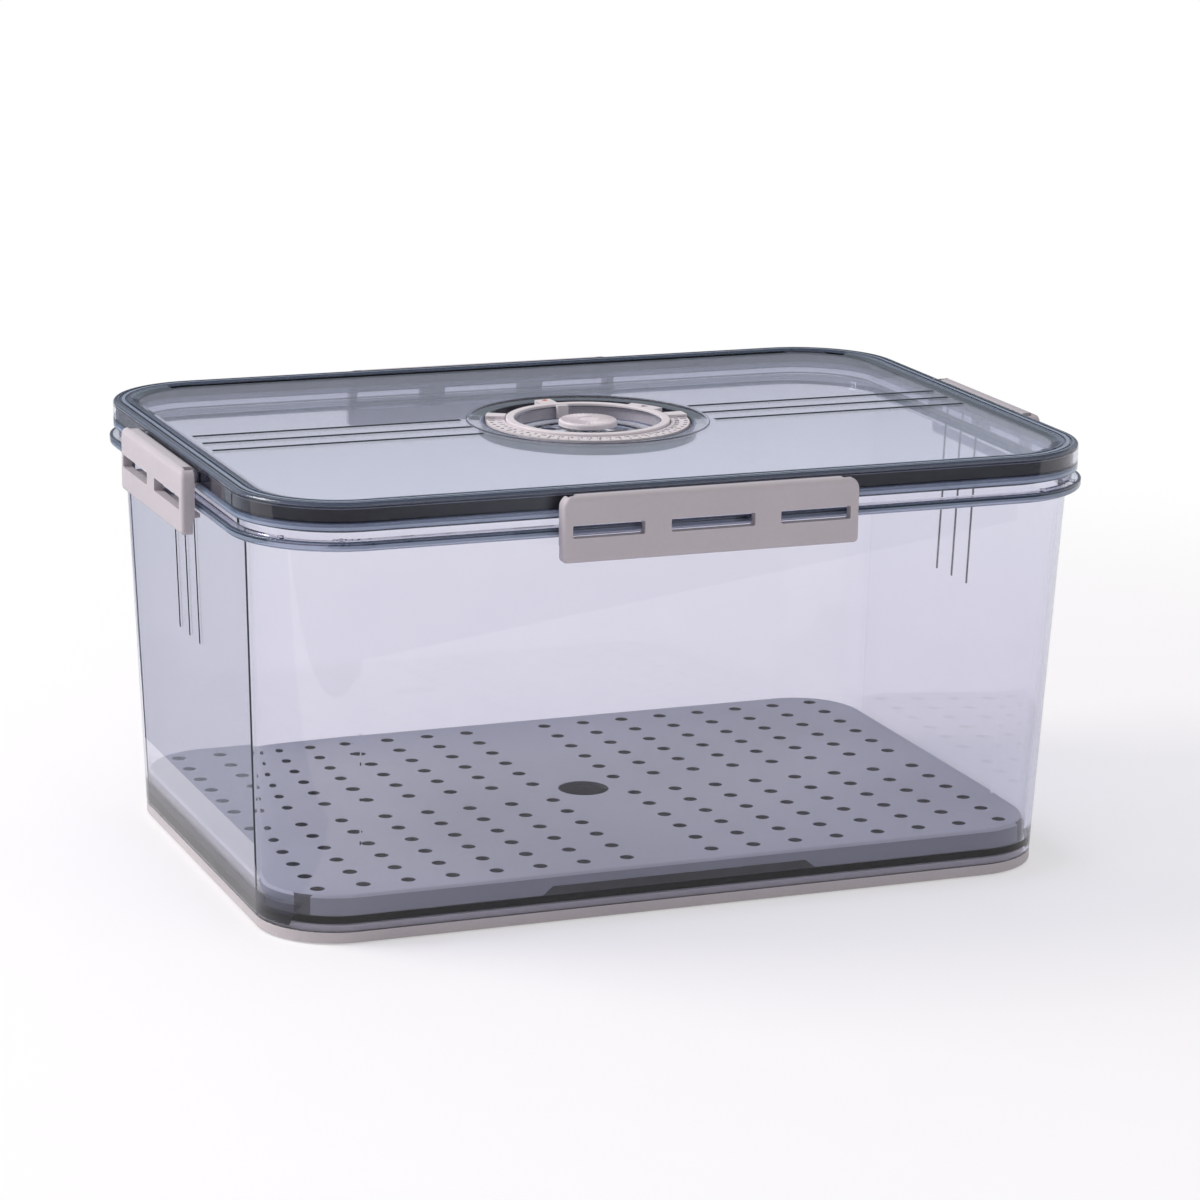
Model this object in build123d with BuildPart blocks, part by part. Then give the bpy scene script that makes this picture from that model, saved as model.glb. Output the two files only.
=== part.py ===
from build123d import *
import math
import os

# Bread keeper: a clear tapered tub on a plain base, a perforated drain tray inside,
# and a clear lid with four hinged latches, two date rings and a press-to-open vent.
# Millimetres. Z is up, the long side runs along X, and the front faces -Y.
# The origin is at the centre of the underside, on the surface the keeper stands on.

os.makedirs("parts", exist_ok=True)

# The lid's outline, which drives the outlines of the tub, the tray and the base
lid_length = 340.0
lid_width = 242.0
lid_corner = 40.0

# Tub: the wall stands in from the lid's skirt and leans in from the flange down to the base
wall_inset_x = 4.5
wall_inset_y = 5.0
wall_corner_inset = 6.0
lean_x = 5.8
lean_y = 9.5
lean_corner = 3.0
tub_top_length = lid_length - 2 * wall_inset_x
tub_top_width = lid_width - 2 * wall_inset_y
tub_top_corner = lid_corner - wall_corner_inset
tub_base_length = tub_top_length - 2 * lean_x
tub_base_width = tub_top_width - 2 * lean_y
tub_base_corner = tub_top_corner - lean_corner
tub_wall = 2.5
tub_floor = 3.0
foot_ring_height = 3.0
base_height = 4.6
flange_underside = 152.8
flange_height = 3.7
flange_overhang = 1.5
flange_top_round = 0.5
flange_under_round = 1.5
level_margin = 0.01
rim_height = 6.6
rim_wall = 3.2
nub_radius = 1.3
nub_height = 0.9
nub_angles = (15.0, 48.0)
nub_edge = 2.0

# Three grooves run down each short wall and on across the lid
groove_pitch = 13.8
groove_width = 1.2
groove_depth = 0.6
groove_well_gap = 0.6
groove_frame_gap = 2.0
wall_groove_bottom = 94.7

# Base moulding and its pads
pad_height = 0.4
pad_seat_depth = 0.9
pad_length = 34.0
pad_width = 9.0
pad_inset = 16.0
pad_side_gap = 0.1
pad_edge = 0.15
base_lip_wall = 2.0
base_lip_height = 2.4
base_lip_gap = 0.15
base_rim_wall = 4.5
base_web = 1.6
base_edge_round = 0.5

# Lid
lid_gap = 3.5
skirt_height = 10.5
skirt_wall = 1.7
skirt_edge_round = 0.5
lid_top_round = 1.4
frame_width = 6.5
frame_slope = 4.0
frame_rise = 0.8
frame_line_depth = 0.4
# Each line round the frame's top: distance in from the outline and width
frame_lines = ((2.5, 0.6), (4.9, 1.0))
panel_thickness = 2.2
plug_wall = 2.0
plug_depth = 9.0
rim_clearance = 0.4
plug_clearance = 1.6
gasket_clearance = 0.05
gasket_lip_width = 1.2
gasket_lip_depth = 0.8

# Latches
latch_long_half = 59.0
latch_short_half = 43.5
latch_reach = 8.2
latch_height = 24.9
latch_below_flange = 8.4
latch_wall = 3.6
latch_end_wall = 2.4
latch_end_setback = 3.1
latch_top_corner = 4.4
latch_bottom_corner = 1.8
latch_edge_round = 1.5
latch_top_round = 2.4
barrel_radius = 3.5
barrel_gap = 0.4
flange_side_gap = 0.5
hook_tip_gap = 0.4
hook_top_gap = 0.5
hook_height = 1.8
lip_thickness = 4.4
hook_tip_trim = 0.4
slot_height = 5.0
slot_rise = 1.4
slot_corner = 0.8
long_middle_slot = 33.4
long_outer_slot = 28.3
long_slot_pitch = 41.2
short_slot = 35.0
short_slot_pitch = 45.0
pin_radius = 1.0
pin_running_gap = 0.05
pin_seat_gap = 0.02
lug_width = 3.0
lug_side_gap = 0.4
lug_radius = 2.0
lug_root = 0.8
notch_gap = 0.3

# Dial well in the middle of the lid
well_radius = 47.2
well_floor_radius = 41.4
well_slope_depth = 0.5
well_depth = 5.2
well_skin = 2.0
well_wall = 1.7
well_bead = 0.9
well_bead_height = 0.5

# Date ring: a wide scale in front, a narrow band behind, three thumb tabs and a marker plate
date_inner_radius = 32.9
date_band_radius = 36.0
date_band_height = 1.2
date_scale_radius = 40.2
date_plate = 1.5
date_top_drop = 0.2
date_foot_wall = 2.1
date_tab_radius = 40.6
date_tab_rise = 0.9
date_tab_width = 7.0
date_tab_angles = (-2.0, 96.0, 153.0)
scale_from = 162.0
scale_to = 350.0
marker_from = 21.0
marker_to = 43.0
tick_count = 31
tick_height = 0.2
tick_width = 0.35
tick_long = 2.6
tick_short = 1.4
tick_edge = 0.8
dot_radius = 1.0
dot_height = 0.2

# Month ring: a rounded bead that sits over the cup wall, with a finger tab inside it
month_outer_radius = 32.5
month_inner_radius = 29.2
month_skirt_wall = 1.5
month_bead = 1.0
month_rise = 1.0
month_round = 0.4
month_tab_angle = 90.5
month_tab_width = 5.0
month_tab_overlap = 0.3
month_tab_thickness = 1.3
month_tab_gap = 0.4
month_tab_drop = 0.7

# Vent cup
cup_wall = 1.3
cup_outer_radius = 30.2
cup_floor = 1.8
cup_wall_drop = 0.4
cup_seat_gap = 0.05
cup_sink = 0.2
seat_ring_radius = 24.5
seat_ring_wall = 1.6
cup_flange_radius = 34.0
cup_flange = 1.6
vent_inner_radius = 9.5
vent_outer_radius = 22.5
vent_count = 6
vent_spoke = 3.2
hub_radius = 7.2
hub_depth = 2.2
spring_pocket_radius = 5.4
hub_web = 1.2

# Vent valve: button, stem, spring and seal
button_radius = 11.6
button_thickness = 2.2
button_round = 0.9
button_rib_count = 36
button_rib_width = 0.5
button_rib_height = 0.25
button_rib_inner = 4.0
button_boss_radius = 3.9
button_boss = 0.8
button_top_drop = 0.4
press_travel = 2.0
press_gap = 0.4
stem_radius = 2.4
stem_bore_gap = 0.08
stem_seat_gap = 0.02
stem_socket = 1.6
stem_head_radius = 4.4
stem_head = 1.2
seal_radius = 25.0
seal_thickness = 1.5
spring_mean_radius = 4.6
spring_wire_radius = 0.3
spring_turns = 4.5

# Drain tray
tray_side_gap = 0.9
tray_height = 7.8
tray_plate = 2.0
tray_wall = 2.0
tray_edge_round = 1.4
tray_notch_half = 56.0
tray_notch_height = 3.2
tray_notch_slope = 4.0
tray_hole_radius = 2.8
tray_margin_x = 15.8
tray_margin_y = 11.7
tray_columns = 8
tray_rows = 6
tray_gap_x = 35.0
tray_gap_y = 23.6
finger_hole_radius = 10.2

# Heights that follow from the sizes above
tub_bottom = base_height
floor_top = tub_bottom + foot_ring_height + tub_floor
flange_top = flange_underside + flange_height
rim_top = flange_top + rim_height
skirt_bottom = flange_top + lid_gap
lid_top = skirt_bottom + skirt_height
panel_top = lid_top - frame_rise
panel_underside = panel_top - panel_thickness
frame_underside = lid_top - panel_thickness
plug_bottom = panel_underside - plug_depth
well_floor_top = panel_top - well_depth
well_floor_underside = well_floor_top - well_skin
date_top = panel_top - date_top_drop
pin_height = flange_underside - latch_below_flange + latch_height - barrel_radius
pin_reach = barrel_gap + barrel_radius
latch_bottom = flange_underside - latch_below_flange
latch_top = latch_bottom + latch_height
tray_top = floor_top + tray_height
cup_floor_top = well_floor_top - cup_sink
cup_floor_underside = cup_floor_top - cup_floor
month_top = date_top + month_rise
month_bead_underside = month_top - month_bead
cup_wall_top = month_bead_underside - cup_wall_drop
button_top = date_top + button_top_drop
button_underside = button_top - button_thickness
hub_top = button_underside - press_travel - press_gap
hub_bottom = cup_floor_underside - hub_depth
spring_seat = hub_bottom + hub_web
hook_top = flange_underside - hook_top_gap
hook_bottom = hook_top - hook_height
base_bottom = pad_height


def tub_outer(height):
    """Length, width and corner radius of the tub's outside at a height."""
    share = (height - tub_bottom) / (flange_underside - tub_bottom)
    length = tub_base_length + share * (tub_top_length - tub_base_length)
    width = tub_base_width + share * (tub_top_width - tub_base_width)
    corner = tub_base_corner + share * (tub_top_corner - tub_base_corner)
    return length, width, corner


def tub_inner(height):
    """The same for the inside of the tub."""
    length, width, corner = tub_outer(height)
    return length - 2 * tub_wall, width - 2 * tub_wall, corner - tub_wall


def shrunk(size, inset):
    """A length, width and corner radius, each side moved in by the inset."""
    length, width, corner = size
    return length - 2 * inset, width - 2 * inset, corner - inset


def slab(size, low, high, mode=Mode.ADD):
    """Adds or cuts a straight rounded block between two heights."""
    with BuildSketch(Plane.XY.offset(low)) as outline:
        RectangleRounded(size[0], size[1], size[2])
    extrude(outline.sketch, amount=high - low, mode=mode)


def tapered(size_low, low, size_high, high, mode=Mode.ADD):
    """Adds or cuts a leaning rounded block between two heights."""
    with BuildSketch(Plane.XY.offset(low)) as foot:
        RectangleRounded(size_low[0], size_low[1], size_low[2])
    with BuildSketch(Plane.XY.offset(high)) as head:
        RectangleRounded(size_high[0], size_high[1], size_high[2])
    loft([foot.sketch.face(), head.sketch.face()], mode=mode)


def ring(outer, inner, low, high, mode=Mode.ADD):
    """Adds or cuts a straight round ring, or a disc where the inner radius is 0."""
    with BuildSketch(Plane.XY.offset(low)) as outline:
        Circle(outer)
        if inner > 0:
            Circle(inner, mode=Mode.SUBTRACT)
    extrude(outline.sketch, amount=high - low, mode=mode)


def arc_point(radius, angle):
    """A point in the plane at a radius and an angle in degrees."""
    return radius * math.cos(math.radians(angle)), radius * math.sin(math.radians(angle))


def sector(inner, outer, start, end):
    """Draws the part of a flat ring between two angles."""
    middle = (start + end) / 2
    with BuildLine() as outline:
        ThreePointArc(arc_point(outer, start), arc_point(outer, middle), arc_point(outer, end))
        Line(arc_point(outer, end), arc_point(inner, end))
        ThreePointArc(arc_point(inner, end), arc_point(inner, middle), arc_point(inner, start))
        Line(arc_point(inner, start), arc_point(outer, start))
    make_face(outline.edges())


def spun(points, mode=Mode.ADD):
    """Turns a closed outline of radius and height round the Z axis."""
    with BuildSketch(Plane.XZ) as outline:
        with BuildLine() as path:
            Polyline(*points, close=True)
        make_face(path.edges())
    revolve(outline.sketch, Axis.Z, mode=mode)


def side_section(outward, reach, along):
    """A plane across an edge of the lid: its X points outward, its Y points up."""
    level = Vector(0, 0, 1).cross(outward)
    place = outward * reach + level * along
    return Plane(origin=place, x_dir=outward, z_dir=outward.cross(Vector(0, 0, 1)))


def side_front(outward, reach):
    """A plane that faces outward from an edge of the lid, with its Y pointing up."""
    return Plane(origin=outward * reach, x_dir=Vector(0, 0, 1).cross(outward), z_dir=outward)


def beyond_wall(edge):
    """True for an edge that lies outside the tub's wall, on the flange's outline."""
    place = edge.center()
    return abs(place.X) > wall_top_size[0] / 2 + 1 or abs(place.Y) > wall_top_size[1] / 2 + 1


def finish(builder, name):
    """Labels a finished piece and writes its file."""
    builder.part.label = name
    export_step(builder.part, "parts/" + name + ".step")


# Sizes shared by the tub's rim and the lid that closes over it
lid_size = (lid_length, lid_width, lid_corner)
flange_size = shrunk(lid_size, -flange_overhang)
skirt_inner = shrunk(lid_size, skirt_wall)
rim_outer = shrunk(skirt_inner, rim_clearance)
rim_inner = shrunk(rim_outer, rim_wall)
plug_outer = shrunk(rim_inner, plug_clearance)
plug_inner = shrunk(plug_outer, plug_wall)
wall_top_size = tub_outer(flange_underside)
foot_hollow = shrunk(tub_outer(tub_bottom), tub_wall)
lip_outer = shrunk(foot_hollow, base_lip_gap)
tray_size = shrunk(tub_inner(floor_top), tray_side_gap)
frame_inner = shrunk(lid_size, frame_width)
panel_size = shrunk(frame_inner, frame_slope)
groove_foot = tub_outer(wall_groove_bottom)[0] / 2

# Where the nubs stand on the flange, from the centre of each corner's arc
corner_x = flange_size[0] / 2 - flange_size[2]
corner_y = flange_size[1] / 2 - flange_size[2]
nub_reach = flange_size[2] - nub_edge

# The grooves on the lid run from the well's bead to the frame
groove_start = well_radius + well_bead + groove_well_gap
groove_run = panel_size[0] / 2 - groove_frame_gap - groove_start
groove_middle = groove_start + groove_run / 2

# Pads, one near each corner
pad_x = tub_base_length / 2 - pad_inset - pad_length / 2
pad_y = tub_base_width / 2 - pad_inset
pad_places = [(-pad_x, -pad_y), (pad_x, -pad_y), (-pad_x, pad_y), (pad_x, pad_y)]
pad_names = ["pad_front_left", "pad_front_right", "pad_back_left", "pad_back_right"]

# The tray's holes come in four blocks with a plain cross between them
tray_pitch_x = (tray_size[0] / 2 - tray_margin_x - tray_gap_x / 2) / (tray_columns - 1)
tray_pitch_y = (tray_size[1] / 2 - tray_margin_y - tray_gap_y / 2) / (tray_rows - 1)
block_x = tray_gap_x / 2 + (tray_columns - 1) * tray_pitch_x / 2
block_y = tray_gap_y / 2 + (tray_rows - 1) * tray_pitch_y / 2
tray_hole_blocks = [(-block_x, -block_y), (block_x, -block_y), (-block_x, block_y), (block_x, block_y)]

# The well's outline under the lid and the hollow inside it, as radius and height
well_wall_radius = well_floor_radius + well_wall
well_slope_foot = panel_top - well_slope_depth
well_body = [
    (0, well_floor_underside),
    (well_wall_radius, well_floor_underside),
    (well_wall_radius, panel_underside + panel_thickness / 2),
    (0, panel_underside + panel_thickness / 2),
]
well_hollow = [
    (0, well_floor_top),
    (well_floor_radius, well_floor_top),
    (well_floor_radius, well_slope_foot),
    (well_radius, panel_top),
    (well_radius, panel_top + panel_thickness),
    (0, panel_top + panel_thickness),
]

# Each latch: name, outward direction, distance of the skirt from the middle, half length, slots
slot_low = hook_top + slot_rise
long_slots = [
    (-long_slot_pitch, long_outer_slot),
    (0, long_middle_slot),
    (long_slot_pitch, long_outer_slot),
]
short_slots = [(-short_slot_pitch / 2, short_slot), (short_slot_pitch / 2, short_slot)]
latches = [
    ("latch_front", Vector(0, -1, 0), lid_width / 2, latch_long_half, long_slots),
    ("latch_back", Vector(0, 1, 0), lid_width / 2, latch_long_half, long_slots),
    ("latch_left", Vector(-1, 0, 0), lid_length / 2, latch_short_half, short_slots),
    ("latch_right", Vector(1, 0, 0), lid_length / 2, latch_short_half, short_slots),
]

# A latch's section without its barrel, as distance from the skirt and height
flange_clear = flange_overhang + flange_side_gap
barrel_low = pin_height - barrel_radius
lip_inner = latch_reach - lip_thickness
latch_section = [
    (latch_reach, latch_bottom),
    (latch_reach, latch_top),
    (pin_reach, latch_top),
    (pin_reach, pin_height),
    (flange_clear, pin_height),
    (flange_clear, hook_top),
    (hook_tip_gap + hook_tip_trim, hook_top),
    (hook_tip_gap, hook_top - hook_tip_trim),
    (hook_tip_gap, hook_bottom),
    (lip_inner, hook_bottom),
    (lip_inner, latch_bottom),
]
latch_pocket = [
    (hook_tip_gap, hook_top),
    (latch_reach - latch_wall, hook_top),
    (latch_reach - latch_wall, barrel_low),
    (hook_tip_gap, barrel_low),
]

# A notch inside each end wall of a latch for the lid's lug, open towards the skirt and the top
notch_length = lug_width + 2 * lug_side_gap
notch_low = pin_height - lug_radius - notch_gap
notch_reach = pin_reach + lug_radius + notch_gap
latch_notch = [(0, notch_low), (notch_reach, notch_low), (notch_reach, lid_top), (0, lid_top)]

# The end walls stand back from the skirt
end_setback = [
    (0, latch_bottom),
    (latch_end_setback, latch_bottom),
    (latch_end_setback, lid_top),
    (0, lid_top),
]

# The stem ends inside the button
stem_top = button_underside - button_boss + stem_socket

# The tub: leaning walls, a raised floor, a flange with a rounded underside and an upright rim
with BuildPart() as container_tub:
    tapered(tub_outer(tub_bottom), tub_bottom, wall_top_size, flange_underside)
    slab(flange_size, flange_underside, flange_top)
    flange_edges = container_tub.edges().group_by(Axis.Z)[-1]
    fillet(flange_edges, flange_top_round)
    low, high = flange_underside - level_margin, flange_underside + level_margin
    level_edges = container_tub.edges().filter_by_position(Axis.Z, low, high)
    fillet(level_edges.filter_by(beyond_wall), flange_under_round)
    slab(rim_outer, flange_top, rim_top)
    inner_top = tub_inner(flange_underside)
    tapered(tub_inner(floor_top), floor_top, inner_top, flange_underside, Mode.SUBTRACT)
    tapered(inner_top, flange_underside, rim_inner, flange_top, Mode.SUBTRACT)
    slab(rim_inner, flange_top, rim_top, Mode.SUBTRACT)
    slab(foot_hollow, tub_bottom, tub_bottom + foot_ring_height, Mode.SUBTRACT)
    for side in (-1, 1):
        for row in (-1, 0, 1):
            with BuildSketch(Plane.XZ.offset(-row * groove_pitch)) as groove:
                with BuildLine():
                    Polyline(
                        (side * (groove_foot - groove_depth), wall_groove_bottom),
                        (side * (wall_top_size[0] / 2 - groove_depth), flange_underside),
                        (side * (wall_top_size[0] / 2 + groove_depth), flange_underside),
                        (side * (groove_foot + groove_depth), wall_groove_bottom),
                        close=True,
                    )
                make_face()
            extrude(amount=groove_width / 2, both=True, mode=Mode.SUBTRACT)
            with BuildSketch(Plane.XY.offset(flange_top)):
                with Locations((side * rim_outer[0] / 2, row * groove_pitch)):
                    Rectangle(2 * groove_depth, groove_width)
            extrude(amount=rim_height, mode=Mode.SUBTRACT)
    for x_side in (-1, 1):
        for y_side in (-1, 1):
            for angle in nub_angles:
                nub_x = x_side * (corner_x + nub_reach * math.sin(math.radians(angle)))
                nub_y = y_side * (corner_y + nub_reach * math.cos(math.radians(angle)))
                with BuildSketch(Plane.XY.offset(flange_top - flange_height / 2)):
                    with Locations((nub_x, nub_y)):
                        Circle(nub_radius)
                extrude(amount=flange_height / 2 + nub_height)
finish(container_tub, "container_tub")

# The base: a shallow moulding under the tub, flush with its wall, with a lip inside the foot ring
with BuildPart() as base_trim:
    slab(tub_outer(tub_bottom), base_bottom, tub_bottom)
    fillet(base_trim.edges().group_by(Axis.Z)[0], base_edge_round)
    rim_hollow = shrunk(tub_outer(tub_bottom), base_rim_wall)
    slab(rim_hollow, base_bottom + base_web, tub_bottom, Mode.SUBTRACT)
    lip_top = tub_bottom + base_lip_height
    slab(lip_outer, base_bottom + base_web, lip_top)
    slab(shrunk(lip_outer, base_lip_wall), base_bottom + base_web, lip_top, Mode.SUBTRACT)
    with BuildSketch(Plane.XY.offset(base_bottom)):
        with Locations(*pad_places):
            SlotOverall(pad_length + 2 * pad_side_gap, pad_width + 2 * pad_side_gap)
    extrude(amount=pad_seat_depth, mode=Mode.SUBTRACT)
finish(base_trim, "base_trim")

# Four soft pads that the keeper stands on
for pad_name, pad_place in zip(pad_names, pad_places):
    with BuildPart() as pad:
        with BuildSketch(Plane.XY):
            with Locations(pad_place):
                SlotOverall(pad_length, pad_width)
        extrude(amount=base_bottom + pad_seat_depth)
        chamfer(pad.edges().group_by(Axis.Z)[0], pad_edge)
    finish(pad, pad_name)

# The drain tray: a perforated plate on a low skirt, with a wide notch in each long side
with BuildPart() as drain_tray:
    slab(tray_size, floor_top, tray_top)
    fillet(drain_tray.edges().group_by(Axis.Z)[-1], tray_edge_round)
    slab(shrunk(tray_size, tray_wall), floor_top, tray_top - tray_plate, Mode.SUBTRACT)
    with BuildSketch(Plane.XZ):
        with BuildLine():
            Polyline(
                (-tray_notch_half, floor_top),
                (-tray_notch_half + tray_notch_slope, floor_top + tray_notch_height),
                (tray_notch_half - tray_notch_slope, floor_top + tray_notch_height),
                (tray_notch_half, floor_top),
                close=True,
            )
        make_face()
    extrude(amount=tray_size[1], both=True, mode=Mode.SUBTRACT)
    with BuildSketch(Plane.XY.offset(tray_top - tray_plate)):
        with Locations(*tray_hole_blocks):
            with GridLocations(tray_pitch_x, tray_pitch_y, tray_columns, tray_rows):
                Circle(tray_hole_radius)
        Circle(finger_hole_radius)
    extrude(amount=tray_plate, mode=Mode.SUBTRACT)
finish(drain_tray, "drain_tray")

# The lid: a clear skirt and raised frame round a lower panel, with a plug wall underneath,
# lugs for the latches and the dial well in the middle
with BuildPart() as lid_panel:
    slab(lid_size, skirt_bottom, lid_top)
    fillet(lid_panel.edges().group_by(Axis.Z)[-1], lid_top_round)
    slab(skirt_inner, skirt_bottom, frame_underside, Mode.SUBTRACT)
    fillet(lid_panel.edges().group_by(Axis.Z)[0], skirt_edge_round)
    slab(plug_outer, plug_bottom, frame_underside)
    slab(plug_inner, plug_bottom, panel_underside, Mode.SUBTRACT)
    tapered(panel_size, panel_top, frame_inner, lid_top, Mode.SUBTRACT)
    for inset, line_width in frame_lines:
        with BuildSketch(Plane.XY.offset(lid_top)):
            RectangleRounded(*shrunk(lid_size, inset))
            RectangleRounded(*shrunk(lid_size, inset + line_width), mode=Mode.SUBTRACT)
        extrude(amount=-frame_line_depth, mode=Mode.SUBTRACT)
    spun(well_body)
    spun(well_hollow, Mode.SUBTRACT)
    ring(well_radius + well_bead, well_radius, panel_top, panel_top + well_bead_height)
    ring(cup_outer_radius + cup_seat_gap, 0, well_floor_underside, well_floor_top, Mode.SUBTRACT)
    for side in (-1, 1):
        for row in (-1, 0, 1):
            with BuildSketch(Plane.XY.offset(panel_top)):
                with Locations((side * groove_middle, row * groove_pitch)):
                    Rectangle(groove_run, groove_width)
            extrude(amount=-groove_depth, mode=Mode.SUBTRACT)
    for latch_name, outward, edge_reach, half, slots in latches:
        for end in (-1, 1):
            middle = end * (half - latch_end_wall - lug_side_gap - lug_width / 2)
            with BuildSketch(side_section(outward, edge_reach, middle)):
                with Locations((pin_reach, pin_height)):
                    Circle(lug_radius)
                with Locations(((pin_reach - lug_root) / 2, pin_height)):
                    Rectangle(pin_reach + lug_root, 2 * lug_radius)
                with Locations((pin_reach, pin_height)):
                    Circle(pin_radius + pin_seat_gap, mode=Mode.SUBTRACT)
            extrude(amount=lug_width / 2, both=True)
finish(lid_panel, "lid_panel")

# The seal in the channel between the skirt and the plug, resting on the tub's rim
with BuildPart() as lid_gasket:
    slab(shrunk(skirt_inner, gasket_clearance), rim_top, frame_underside)
    slab(shrunk(plug_outer, -gasket_clearance), rim_top, frame_underside, Mode.SUBTRACT)
    with BuildSketch(Plane.XY.offset(rim_top)):
        RectangleRounded(*shrunk(plug_outer, -gasket_clearance - gasket_lip_width))
        RectangleRounded(*shrunk(plug_outer, -gasket_clearance), mode=Mode.SUBTRACT)
    extrude(amount=gasket_lip_depth, mode=Mode.SUBTRACT)
finish(lid_gasket, "lid_gasket")

# Four latches, each on its own pin, which two lugs of the lid hold inside the latch's end walls
for latch_name, outward, edge_reach, half, slots in latches:
    inner_half = half - latch_end_wall
    with BuildPart() as latch:
        with BuildSketch(side_front(outward, edge_reach + latch_reach)) as outline:
            with Locations((0, (latch_bottom + latch_top) / 2)):
                Rectangle(2 * half, latch_height)
            fillet(outline.vertices().group_by(Axis.Y)[-1], latch_top_corner)
            fillet(outline.vertices().group_by(Axis.Y)[0], latch_bottom_corner)
        extrude(amount=-(latch_reach - hook_tip_gap))
        outer_face = latch.faces().sort_by(Axis((0, 0, 0), tuple(outward)))[-1]
        fillet(outer_face.edges(), latch_edge_round)
        with BuildSketch(side_section(outward, edge_reach, 0)) as section:
            with Locations((pin_reach, pin_height)):
                Circle(barrel_radius)
            with BuildLine():
                Polyline(*latch_section, close=True)
            make_face()
            outer_corners = section.vertices().group_by(Axis.X)[-1]
            fillet(outer_corners.sort_by(Axis.Y)[-1], latch_top_round)
        extrude(amount=half, both=True, mode=Mode.INTERSECT)
        with BuildSketch(side_section(outward, edge_reach, 0)):
            with BuildLine():
                Polyline(*latch_pocket, close=True)
            make_face()
        extrude(amount=inner_half, both=True, mode=Mode.SUBTRACT)
        for end in (-1, 1):
            with BuildSketch(side_section(outward, edge_reach, end * (half - latch_end_wall / 2))):
                with BuildLine():
                    Polyline(*end_setback, close=True)
                make_face()
            extrude(amount=latch_end_wall / 2, both=True, mode=Mode.SUBTRACT)
            with BuildSketch(side_section(outward, edge_reach, end * (inner_half - notch_length / 2))):
                with BuildLine():
                    Polyline(*latch_notch, close=True)
                make_face()
            extrude(amount=notch_length / 2, both=True, mode=Mode.SUBTRACT)
        for slot_middle, slot_length in slots:
            with BuildSketch(side_front(outward, edge_reach + latch_reach)):
                with Locations((slot_middle, slot_low + slot_height / 2)):
                    RectangleRounded(slot_length, slot_height, slot_corner)
            extrude(amount=-latch_wall, mode=Mode.SUBTRACT)
        with BuildSketch(side_section(outward, edge_reach, 0)):
            with Locations((pin_reach, pin_height)):
                Circle(pin_radius + pin_running_gap)
        extrude(amount=inner_half, both=True, mode=Mode.SUBTRACT)
    finish(latch, latch_name)
    with BuildPart() as pin:
        with BuildSketch(side_section(outward, edge_reach, 0)):
            with Locations((pin_reach, pin_height)):
                Circle(pin_radius)
        extrude(amount=inner_half - lug_side_gap, both=True)
    finish(pin, latch_name.replace("latch", "pin"))

# The vent cup: wall, floor with openings between spokes, hub with the spring's pocket, seal seat
with BuildPart() as vent_cup:
    ring(cup_outer_radius, cup_outer_radius - cup_wall, cup_floor_underside, cup_wall_top)
    flange_low = cup_floor_underside - cup_flange
    ring(cup_flange_radius, seat_ring_radius + seat_ring_wall, flange_low, cup_floor_underside)
    ring(cup_outer_radius, 0, cup_floor_underside, cup_floor_top)
    with BuildSketch(Plane.XY.offset(cup_floor_underside)):
        Circle(vent_outer_radius)
        Circle(vent_inner_radius, mode=Mode.SUBTRACT)
        with PolarLocations(0, vent_count // 2, angular_range=180):
            Rectangle(2 * vent_outer_radius, vent_spoke, mode=Mode.SUBTRACT)
    extrude(amount=cup_floor, mode=Mode.SUBTRACT)
    ring(seat_ring_radius, seat_ring_radius - seat_ring_wall, hub_bottom, cup_floor_underside)
    ring(hub_radius, 0, hub_bottom, hub_top)
    ring(spring_pocket_radius, 0, spring_seat, hub_top, Mode.SUBTRACT)
    ring(stem_radius + stem_bore_gap, 0, hub_bottom, spring_seat, Mode.SUBTRACT)
finish(vent_cup, "vent_cup")

# The date ring
with BuildPart() as date_ring:
    plate_underside = date_top - date_plate
    band_underside = plate_underside - date_band_height
    ring(date_inner_radius + date_foot_wall, date_inner_radius, well_floor_top, band_underside)
    ring(date_band_radius, date_inner_radius, band_underside, plate_underside)
    for start, end in ((scale_from, scale_to), (marker_from, marker_to)):
        with BuildSketch(Plane.XY.offset(plate_underside)) as plate:
            sector(date_inner_radius, date_scale_radius, start, end)
        extrude(plate.sketch, amount=date_plate)
    for angle in date_tab_angles:
        half_angle = math.degrees(date_tab_width / 2 / date_tab_radius)
        with BuildSketch(Plane.XY.offset(plate_underside)) as tab:
            sector(date_inner_radius, date_tab_radius, angle - half_angle, angle + half_angle)
        extrude(tab.sketch, amount=date_plate + date_tab_rise)
    for tick in range(tick_count):
        angle = scale_from + (tick + 0.5) * (scale_to - scale_from) / tick_count
        length = tick_long if tick % 5 == 0 else tick_short
        middle = date_scale_radius - tick_edge - length / 2
        with BuildSketch(Plane.XY.offset(date_top)) as mark:
            with Locations(Location((*arc_point(middle, angle), 0), angle)):
                Rectangle(length, tick_width)
        extrude(mark.sketch, amount=tick_height)
finish(date_ring, "date_ring")

# A coloured dot on the rear thumb tab
with BuildPart() as index_dot:
    with BuildSketch(Plane.XY.offset(date_top + date_tab_rise)):
        with Locations(arc_point((date_band_radius + date_tab_radius) / 2, date_tab_angles[1])):
            Circle(dot_radius)
    extrude(amount=dot_height)
finish(index_dot, "index_dot")

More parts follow.
